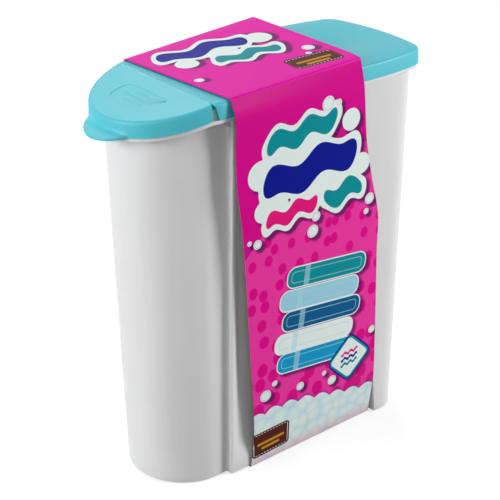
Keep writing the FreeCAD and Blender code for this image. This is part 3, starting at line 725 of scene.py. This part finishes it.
stage = {"floorColour": 0.28, "floorSeen": 0.42, "floorGlow": 0.67, "floorHalf": 6.0, "fadeFrom": 0.45,
         "fadeTo": 1.1, "worldStrength": 0.17}
lamps = {
    "key": {"place": (-1.53, 0.32, 0.62), "size": 0.9, "power": 21.5},
    "side": {"place": (1.02, -0.98, 0.55), "size": 0.6, "power": 17.5},
    "front": {"place": (-0.95, -1.2, 0.5), "size": 1.2, "power": 2.2},
    "back": {"place": (0.25, 1.00, 1.45), "size": 1.0, "power": 12},
}


def addLamp(name, values):
    data = bpy.data.lights.new(name, "AREA")
    data.shape = "DISK"
    data.size = values["size"]
    data.energy = values["power"]
    piece = bpy.data.objects.new(name, data)
    bpy.context.scene.collection.objects.link(piece)
    piece.matrix_world = aimed(values["place"], (0, 0, top / 2))
    piece.visible_camera = False


def seenRays(tree):
    # 1 for what the camera sees straight or in a gloss, 0 for light that falls on the object.
    rays = tree.nodes.new("ShaderNodeLightPath").outputs
    seen = reckon(tree, "MAXIMUM", rays["Is Camera Ray"], rays["Is Glossy Ray"])
    return reckon(tree, "MAXIMUM", seen, rays["Is Transmission Ray"])


def glow(tree, kind, strength):
    node = tree.nodes.new(kind)
    node.inputs["Color"].default_value = (1, 1, 1, 1)
    node.inputs["Strength"].default_value = strength
    return node.outputs[0]


def chooseShader(tree, share, first, second):
    node = tree.nodes.new("ShaderNodeMixShader")
    return wired(tree, node, (share, first, second))


def addWorld():
    world = bpy.data.worlds.new("softWorld")
    bpy.context.scene.world = world
    world.use_nodes = True
    tree = world.node_tree
    tree.nodes.clear()
    soft = glow(tree, "ShaderNodeBackground", stage["worldStrength"])
    white = glow(tree, "ShaderNodeBackground", 1.0)
    both = chooseShader(tree, seenRays(tree), soft, white)
    tree.links.new(both, tree.nodes.new("ShaderNodeOutputWorld").inputs[0])


def makeFloor():
    # A pale matt floor that turns plain white far from the object and keeps the soft shadow near it.
    mat = bpy.data.materials.new("paleFloor")
    mat.use_nodes = True
    tree = mat.node_tree
    tree.nodes.clear()

    def matt(level):
        node = tree.nodes.new("ShaderNodeBsdfDiffuse")
        node.inputs["Color"].default_value = (level, level, level, 1)
        return node.outputs[0]

    lit = wired(tree, tree.nodes.new("ShaderNodeAddShader"),
                (matt(stage["floorSeen"]), glow(tree, "ShaderNodeEmission", stage["floorGlow"])))
    away = reckonVector(tree, "LENGTH", objectPoint(tree))
    fade = tree.nodes.new("ShaderNodeMapRange")
    distance = wired(tree, fade, (away, stage["fadeFrom"], stage["fadeTo"], 0.0, 1.0))
    seen = chooseShader(tree, distance, lit, glow(tree, "ShaderNodeEmission", 1.0))
    both = chooseShader(tree, seenRays(tree), matt(stage["floorColour"]), seen)
    tree.links.new(both, tree.nodes.new("ShaderNodeOutputMaterial").inputs[0])
    return mat


def addStage():
    addWorld()
    for name, values in lamps.items():
        addLamp(name, values)
    bm = bmesh.new()
    bmesh.ops.create_grid(bm, x_segments=1, y_segments=1, size=stage["floorHalf"])
    floor = meshPiece("floor", bm)
    floor.data.materials.append(makeFloor())


# Container: barrel, steps and grip panels, a rim flange and a neck

tub = {
    "noseReach": (0.082, 0.0841), "barrelHalf": (0.0322, 0.0333), "barrelStart": 0.052, "shoulder": 0.024,
    "step": (0.044, 0.041), "middleHalf": (0.0362, 0.0374), "backStep": (0.0593, 0.04), "backRun": 0.0004,
    "backHalf": (0.0404, 0.0404), "backStart": (0.065, 0.0664), "backCorner": 0.0143,
    "backReach": (0.0845, 0.0874), "setbacks": (0.0006, 0.0005, 0.0012, 0.0012, 0.001, 0.0008, 0.001),
    "gripMargin": 0.002, "gripRun": 0.0042, "gripDepth": 0.0025, "footHeight": 0.005, "footRise": 0.016,
    "footSteps": 6, "wall": 0.0016, "floor": 0.0018, "footRound": 0.0008, "neckRun": 0.006,
    "flange": 0.0018, "flangeInset": 0.0002, "neckGap": 0.0004, "neckWall": 0.0014,
}


def tubArcs(level, dent, wall=0.0):
    # The tub's plan at a level, with its grip panels sunk by dent.
    share = (level - tubLow.z) / (top - skirt - tub["flange"] / 2 - tubLow.z)

    def at(size):
        foot, head = tub[size]
        return foot + (head - foot) * share

    barrel, middle, rear = at("barrelHalf") - wall, at("middleHalf") - wall, at("backHalf") - wall
    step, backStep, backStart = at("step"), at("backStep"), at("backStart")
    panel = middle - dent
    run = [
        (backStart, rear),
        (backStep + tub["backRun"] + wall, rear),
        (backStep + wall, middle),
        (backStep - tub["gripRun"], panel),
        (-(step - tub["gripMargin"] - tub["gripRun"]), panel),
        (-(step - tub["gripMargin"]), middle),
        (-(step - wall), middle),
        (-(step - wall), barrel),
        (-tub["barrelStart"], barrel),
    ]
    side, nose = noseArcs(at("noseReach") - wall, tub["barrelStart"], barrel, tub["shoulder"] - wall)
    reach, corner = at("backReach") - wall, tub["backCorner"] - wall
    depth, across = reach - backStart, rear - corner
    endRadius = (depth ** 2 + across ** 2 - corner ** 2) / (2 * (depth - corner))
    turn = polar(endRadius - depth, across)
    rearCorner = (backStart, across, corner, turn, 90 - turn, 14)
    end = (reach - endRadius, 0, endRadius, -turn, 2 * turn, 20)
    half = [rearCorner] + easedCorners(run, tub["setbacks"]) + [side]
    return half + [nose] + mirrored(half) + [end]


def addTub(material):
    bm = bmesh.new()
    base, rimLevel = tubLow.z, top - skirt
    flat = 0.00001           # next to nothing, but the panel's corners stay apart where it isn't sunk
    loops = [layLoop(bm, tubArcs(base + rise, flat, inset), base + rise)
             for inset, rise in quarterRound(tub["footRound"])]
    foot = base + tub["footHeight"]
    panelFoot = foot + tub["footRise"]
    for step in range(tub["footSteps"] + 1):      # the panel sinks in gently above the foot
        share = step / tub["footSteps"]
        level = foot + tub["footRise"] * share
        dent = flat + (tub["gripDepth"] - flat) * ease(share)
        loops.append(layLoop(bm, tubArcs(level, dent), level))
    under = rimLevel - tub["flange"]
    loops.append(layLoop(bm, tubArcs(under, tub["gripDepth"]), under))
    bridge(bm, loops)
    fillLoop(bm, loops[0])
    outline = capArcs()
    neckOuter = cap["wall"] + tub["neckGap"]
    neckInner = neckOuter + tub["neckWall"]
    rim = [
        layLoop(bm, outline, under, tub["flangeInset"]),
        layLoop(bm, outline, rimLevel, tub["flangeInset"]),
        layLoop(bm, outline, rimLevel, neckOuter),
        layLoop(bm, outline, tubHigh.z, neckOuter),
        layLoop(bm, outline, tubHigh.z, neckInner),
        layLoop(bm, outline, under, neckInner),
    ]
    fillLoop(bm, loops[-1], rim[0])
    bridge(bm, rim)
    innerLevels = [(under - tub["neckRun"], tub["gripDepth"]), (panelFoot, tub["gripDepth"]), (foot, flat),
                   (base + tub["floor"], flat)]
    inner = [layLoop(bm, tubArcs(level, dent, tub["wall"]), level) for level, dent in innerLevels]
    bridge(bm, [rim[-1]] + inner)
    fillLoop(bm, inner[-1])
    fallInFront(bm, above=under - 0.0005)
    return finishPiece("tubBody", bm, "tub", "container", material)


# Lid: skirt, rounded top edge and a stepped oval recess

lid = {"ovalBack": 0.0769, "ovalFront": 0.03, "ovalHalf": 0.0164, "ledge": 0.0045,
       "step": 0.0005, "depth": 0.0016, "stepRun": 0.0018, "floorRun": 0.0038,
       "notch": 0.003, "notchHead": 0.25, "notchSpan": 0.008, "notchSkin": 0.004}


def capLoop(bm, outline, drop, inset=0.0):
    # A loop of the cap at some depth, where its skirt leans out.
    return layLoop(bm, outline, top - drop, inset - lean * drop)


def capRings(bm, outline, skirtDrop, roundSteps=5):
    # The cap's outer rings from the flat top down over the rounded edge to the skirt's foot.
    rings = []
    for inset, drop in quarterRound(cap["round"], roundSteps):
        rings.append(capLoop(bm, outline, drop, inset))
    rings.append(capLoop(bm, outline, skirtDrop))
    return rings


def ovalArcs():
    radius = lid["ovalHalf"]
    back, front = lid["ovalBack"] - radius, -(lid["ovalFront"] - radius)
    return [(back, 0, radius, -90, 180, 28), (front, 0, radius, 90, 180, 28)]


def addLid(material):
    bm = bmesh.new()
    outline, oval = capArcs(), ovalArcs()
    rings = capRings(bm, outline, skirt)
    recess = [
        layLoop(bm, oval, top),
        layLoop(bm, oval, top - lid["step"], lid["stepRun"]),
        layLoop(bm, oval, top - lid["step"], lid["ledge"]),
        layLoop(bm, oval, top - lid["depth"], lid["ledge"] + lid["floorRun"]),
    ]
    wall = cap["wall"]
    inside = [
        capLoop(bm, outline, skirt, wall),
        layLoop(bm, outline, top - wall, wall),
    ]
    backing = [
        layLoop(bm, oval, top - wall, -wall),
        layLoop(bm, oval, top - lid["step"] - wall, -wall),
        layLoop(bm, oval, top - lid["step"] - wall, lid["ledge"] - wall),
        layLoop(bm, oval, top - lid["depth"] - wall, lid["ledge"] - wall),
    ]
    bridge(bm, [*rings, *inside])
    bridge(bm, recess)
    bridge(bm, backing)
    fillLoop(bm, rings[0], recess[0])
    fillLoop(bm, recess[-1])
    fillLoop(bm, inside[-1], backing[0])
    fillLoop(bm, backing[-1])
    cutX = -cap["hinge"] + cap["slit"] / 2
    keepSide(bm, cutX, 1)
    for vert in bm.verts:                         # the skirt draws back from the flap, most at its foot
        depth = min(max((top - vert.co.z) / skirt, 0), 1)
        behind = 1 - (vert.co.x - cutX) / lid["notchSpan"]
        if behind > 0 and depth > 0.1 and abs(vert.co.y) > halfWidth - lid["notchSkin"]:
            vert.co.x += lid["notch"] * mixed(lid["notchHead"], 1, depth) * behind
    return finishPiece("lidShell", bm, "tub", "lid", material)


# Pour flap: the front of the cap, sloping to the nose, with a thumb tab and a plain ribbed plaque

flap = {
    "drop": 0.0081, "tabRadius": 0.0196, "tabThick": 0.0014, "sweepStart": 0.0046, "sweeps": 9,
    "plaque": (-0.0705, -0.002), "plaqueHalf": (0.0068, 0.018), "plaqueRound": 0.005,
    "plaqueDepth": 0.00025, "ribs": 3, "ribPitch": 0.0034, "ribHalf": (0.0006, 0.012), "ribShort": 0.6,
}


def pushTab(loop, share, reach):
    # Draws a ring's nose out towards the thumb tab's round edge.
    middle = Vector((flap["tabRadius"] - tabReach, 0))
    for vert in loopVerts(loop):
        out = vert.co.xy - middle
        if out.length < reach:
            goal = middle + out.normalized() * reach
            vert.co.xy = vert.co.xy.lerp(goal, share)


def addFlap(material):
    bm = bmesh.new()
    outline = capArcs()
    rings = capRings(bm, outline, flap["sweepStart"])
    tabTop = flap["drop"] - flap["tabThick"]
    edge = flap["tabThick"] * 0.3
    for step in range(1, flap["sweeps"] + 1):     # a quarter turn from upright skirt to level tab
        angle = math.radians(90 * step / flap["sweeps"])
        drop = flap["sweepStart"] + (tabTop - flap["sweepStart"]) * math.sin(angle)
        rings.append(capLoop(bm, outline, drop))
        pushTab(rings[-1], 1 - math.cos(angle), flap["tabRadius"] - edge)
    for drop, out in ((tabTop + edge * 0.3, edge * 0.3), (tabTop + edge, 0), (flap["drop"] - edge, 0),
                      (flap["drop"], edge * 0.6)):
        rings.append(capLoop(bm, outline, drop))
        pushTab(rings[-1], 1, flap["tabRadius"] - out)
    wall = cap["wall"]
    inside = [
        capLoop(bm, outline, flap["drop"], wall),
        layLoop(bm, outline, top - wall, wall),
    ]
    plaqueX, plaqueY = flap["plaque"]
    plate = roundBox(plaqueX, plaqueY, *flap["plaqueHalf"], flap["plaqueRound"])
    floor = top - flap["plaqueDepth"]
    sunk = [layLoop(bm, plate, top), layLoop(bm, plate, floor, 0.0003)]
    bridge(bm, [*rings, *inside])
    bridge(bm, sunk)
    fillLoop(bm, rings[0], sunk[0])
    fillLoop(bm, sunk[1])
    fillLoop(bm, inside[-1])
    for index in range(flap["ribs"]):
        x = plaqueX + (index - (flap["ribs"] - 1) / 2) * flap["ribPitch"]
        half = flap["ribHalf"][1] * (1 if index == flap["ribs"] // 2 else flap["ribShort"])
        rib = roundBox(x, plaqueY, flap["ribHalf"][0], half, flap["ribHalf"][0] * 0.98, 4)
        bar = [layLoop(bm, rib, floor + rise, inset)
               for rise, inset in ((-0.0002, 0), (0, 0), (0.0001, 0.0003))]
        bridge(bm, bar)
        fillLoop(bm, bar[0])
        fillLoop(bm, bar[-1])
    keepSide(bm, -cap["hinge"] - cap["slit"] / 2, -1)
    leanOut(bm)
    fallInFront(bm)
    return finishPiece("flapShell", bm, "flap", "pour_flap", material, bevel=0.0002)


# Dosing tray: a half-moon dish in the mouth under the flap, with a rounded pouring slot and its lip

tray = {
    "rimDrop": 0.0026, "height": 0.0058, "gap": 0.0003, "thick": 0.0015, "rimWall": 0.0013, "round": 0.0012,
    "back": 0.049, "slot": -0.072, "slotHalf": (0.006, 0.018), "slotRound": 0.0059,
    "lip": (0.001, 0.0009),
}


def addTray(material):
    bm = bmesh.new()
    outline = capArcs()
    edge = cap["wall"] + tub["neckGap"] + tub["neckWall"] + tray["gap"]
    rim = top - tray["rimDrop"]
    foot = rim - tray["height"]
    floor = foot + tray["thick"]
    wall, rounding = tray["rimWall"], tray["round"]
    near = rounding * 0.3
    levels = [(inset, foot + rise) for inset, rise in quarterRound(rounding)]
    levels += [(0, rim), (wall, rim), (wall, floor + rounding), (wall + near, floor + near),
               (wall + rounding, floor)]
    dish = [layLoop(bm, outline, level, edge + inset) for inset, level in levels]
    slot = roundBox(tray["slot"], 0, *tray["slotHalf"], tray["slotRound"])
    width, rise = tray["lip"]
    lip = [layLoop(bm, slot, floor, -width), layLoop(bm, slot, floor + rise, -width * 0.8),
           layLoop(bm, slot, floor + rise), layLoop(bm, slot, foot)]
    bridge(bm, dish)
    bridge(bm, lip)
    fillLoop(bm, dish[-1], lip[0])
    fillLoop(bm, dish[0], lip[-1])
    keepSide(bm, -tray["back"], -1)
    fallInFront(bm)
    return finishPiece("dosingTray", bm, "tub", "dosing_plate", material, bevel=0.0002)


# Hinge: the thin film of the cap's own plastic that the flap turns on, coloured lighter than the cap: partly
# whitening from the bending, partly a painted highlight along the hinge line

film = {"half": 0.0392, "reach": 0.00043, "thick": 0.0003, "sunk": 0.00012, "steps": 14}


def addFilm(material):
    bm = bmesh.new()
    bmesh.ops.create_circle(bm, cap_ends=True, radius=1, segments=film["steps"])
    bmesh.ops.scale(bm, vec=(film["reach"], film["thick"] / 2, 1), verts=bm.verts)
    bmesh.ops.rotate(bm, matrix=Matrix.Rotation(math.radians(90), 3, "X"), verts=bm.verts)
    level = top - film["thick"] / 2 - film["sunk"]
    bmesh.ops.translate(bm, vec=(-cap["hinge"], -film["half"], level), verts=bm.verts)
    made = bmesh.ops.extrude_face_region(bm, geom=bm.faces[:])["geom"]
    bmesh.ops.translate(bm, vec=(0, 2 * film["half"], 0), verts=pick(made, bmesh.types.BMVert))
    piece = finishPiece("hingeFilm", bm, None, None, material, bevel=0, sharp=60)
    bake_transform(piece)


# Card sleeve: one loop of printed card

sleeve = {
    "card": 0.0005, "gap": 0.0003, "footHalf": 0.0368, "headHalf": 0.0423, "bulge": 0.0413,
    "bulgeLevel": 0.03, "riseNear": 0.0056, "riseFar": 0.0112, "skew": 4.0, "rearX": 0.063, "bow": 0.0012,
    "creases": (0.0022, 0.001, 0.001, 0.0008), "cornerPull": 0.0014, "printMiddle": 0.0135,
    "belly": (0.0023, 0.009, 0.028),     # how far out, and how far below the crease it is fullest and ends
    "frontEdge": [(0.0, -0.031), (0.02, -0.0296), (0.075, -0.0334), (0.15, -0.039), (0.174, -0.0421),
                  (0.2, -0.0434), (0.221, -0.0454)],
    "backEdge": [(0.0, 0.0574), (0.06, 0.0548), (0.112, 0.0524), (0.135, 0.0519), (0.158, 0.0461),
                 (0.18, 0.0414), (0.206, 0.0388), (0.221, 0.037)],
    "across": 40, "upCuts": 54, "sideCuts": 19,
}
sleeveTop = top + sleeve["gap"] + sleeve["card"]


def curveAt(points, level):
    # A smooth curve through a few chosen (level, value) pairs.
    index = max(i for i, (z, _) in enumerate(points[:-1]) if z <= level or i == 0)
    z0, v0 = points[index]
    z1, v1 = points[index + 1]

    def slope(i):
        low, high = points[max(i - 1, 0)], points[min(i + 1, len(points) - 1)]
        return (high[1] - low[1]) / (high[0] - low[0])

    share = min(max((level - z0) / (z1 - z0), 0), 1)
    span = z1 - z0
    s2, s3 = share ** 2, share ** 3
    return ((2 * s3 - 3 * s2 + 1) * v0 + (s3 - 2 * s2 + share) * slope(index) * span
            + (3 * s2 - 2 * s3) * v1 + (s3 - s2) * slope(index + 1) * span)


def sleevePoint(share, side, level):
    # side runs from -1 to 1 across the part, level from floor to crease, share from front to rear edge.
    shift = -math.tan(math.radians(sleeve["skew"])) * (side + 1) * halfWidth
    x = mixed(curveAt(sleeve["frontEdge"], level), curveAt(sleeve["backEdge"], level), share) + shift
    nearCorner = math.exp(-((side + 1) / 0.12) ** 2 - ((sleeveTop - level) / 0.005) ** 2)
    x -= sleeve["cornerPull"] * share ** 6 * nearCorner
    rearShare = (x + cap["hinge"]) / (sleeve["rearX"] + cap["hinge"])
    shoulder = top - skirt
    straight = mixed(sleeve["footHalf"], sleeve["headHalf"], level / shoulder)
    bulge, bulgeLevel = sleeve["bulge"], sleeve["bulgeLevel"]
    if level < bulgeLevel:
        rear = mixed(sleeve["footHalf"], bulge, level / bulgeLevel)
    else:
        rear = mixed(bulge, sleeve["headHalf"], (level - bulgeLevel) / (shoulder - bulgeLevel))
    half = mixed(straight, rear, rearShare)
    overSkirt = (level - shoulder) / (sleeveTop - shoulder)
    if overSkirt > 0:
        half = mixed(sleeve["headHalf"], halfWidth + sleeve["gap"], overSkirt)
    half += sleeve["card"] + sleeve["bow"] * math.sin(math.pi * min(level / shoulder, 1))
    belly, full, low = sleeve["belly"]
    drop = sleeveTop - level
    swell = ease(drop / full) if drop < full else 1 - ease(min((drop - full) / (low - full), 1))
    half += belly * (1 - share) * swell
    rise = mixed(sleeve["riseNear"], sleeve["riseFar"], (side + 1) / 2) * rearShare
    return Vector((x, side * half, level + rise * max(0, overSkirt)))


def addSleeve(materials):
    bm = bmesh.new()
    box = roundBox(0, 0, sleeveTop / 2, halfWidth, sleeve["creases"], 4)
    loop = layLoop(bm, box, 0)
    long = [edge for edge in loop if edge.calc_length() > 0.1]
    wide = [edge for edge in loop if 0.02 < edge.calc_length() <= 0.1]
    bmesh.ops.subdivide_edges(bm, edges=long, cuts=sleeve["upCuts"])
    bmesh.ops.subdivide_edges(bm, edges=wide, cuts=sleeve["sideCuts"])
    strips = sleeve["across"]
    ring = bm.edges[:]
    for _ in range(strips):
        made = bmesh.ops.extrude_edge_only(bm, edges=ring)["geom"]
        verts = pick(made, bmesh.types.BMVert)
        bmesh.ops.translate(bm, vec=(0, 0, 1 / strips), verts=verts)
        moved = set(verts)
        ring = [edge for edge in pick(made, bmesh.types.BMEdge) if moved.issuperset(edge.verts)]
    printPlace = bm.loops.layers.uv.new("print")
    flatSpots = {vert: (vert.co.z, vert.co.y / halfWidth, sleeveTop / 2 + vert.co.x) for vert in bm.verts}
    lying = min(sleeve["creases"]) * 0.3
    for face in bm.faces:
        middleSide = sum(flatSpots[vert][1] for vert in face.verts) / len(face.verts)
        for corner in face.loops:
            share, side, level = flatSpots[corner.vert]
            if level < lying:
                along = -side * halfWidth
                if middleSide >= 0:
                    along += 4 * halfWidth + 2 * sleeveTop
            elif sleeveTop - level < lying:
                along = 2 * halfWidth + sleeveTop + side * halfWidth
            elif side < 0:
                along = halfWidth + level
            else:
                along = 3 * halfWidth + 2 * sleeveTop - level
            corner[printPlace].uv = (sleevePoint(share, -1, level).x, along - halfWidth)
    for vert, (share, side, level) in flatSpots.items():
        vert.co = sleevePoint(share, side, level)
    piece = finishPiece("cardSleeve", bm, "tub", "card_sleeve", materials[0],
                        bevel=0, sharp=40)
    piece.data.materials.append(materials[1])
    wall = piece.modifiers.new("cardThickness", "SOLIDIFY")
    wall.thickness = sleeve["card"]
    wall.offset = -1
    wall.material_offset = 1
    wall.material_offset_rim = 0


addCamera()
addStage()
print("camera, floor and lamps made")
grainGroup, boardGroup = makeGrain(), makeBoard()
# the third plastic, for the hinge film, carries a painted highlight along the hinge line as well as
# whitening
tubPlastic, lidPlastic, whitenedAndHighlit = (makePlastic(name, grainGroup) for name in plastics)
printedCard, rawCard = makePrintedCard(boardGroup), makeRawCard(boardGroup)
print("materials made")
addTub(tubPlastic)
print("tub made")
addLid(lidPlastic)
addFlap(lidPlastic)
addTray(lidPlastic)
addFilm(whitenedAndHighlit)
print("lid, flap, tray and hinge made")
addSleeve([printedCard, rawCard])
print("sleeve made")

bpy.context.scene.view_settings.view_transform = "Standard"
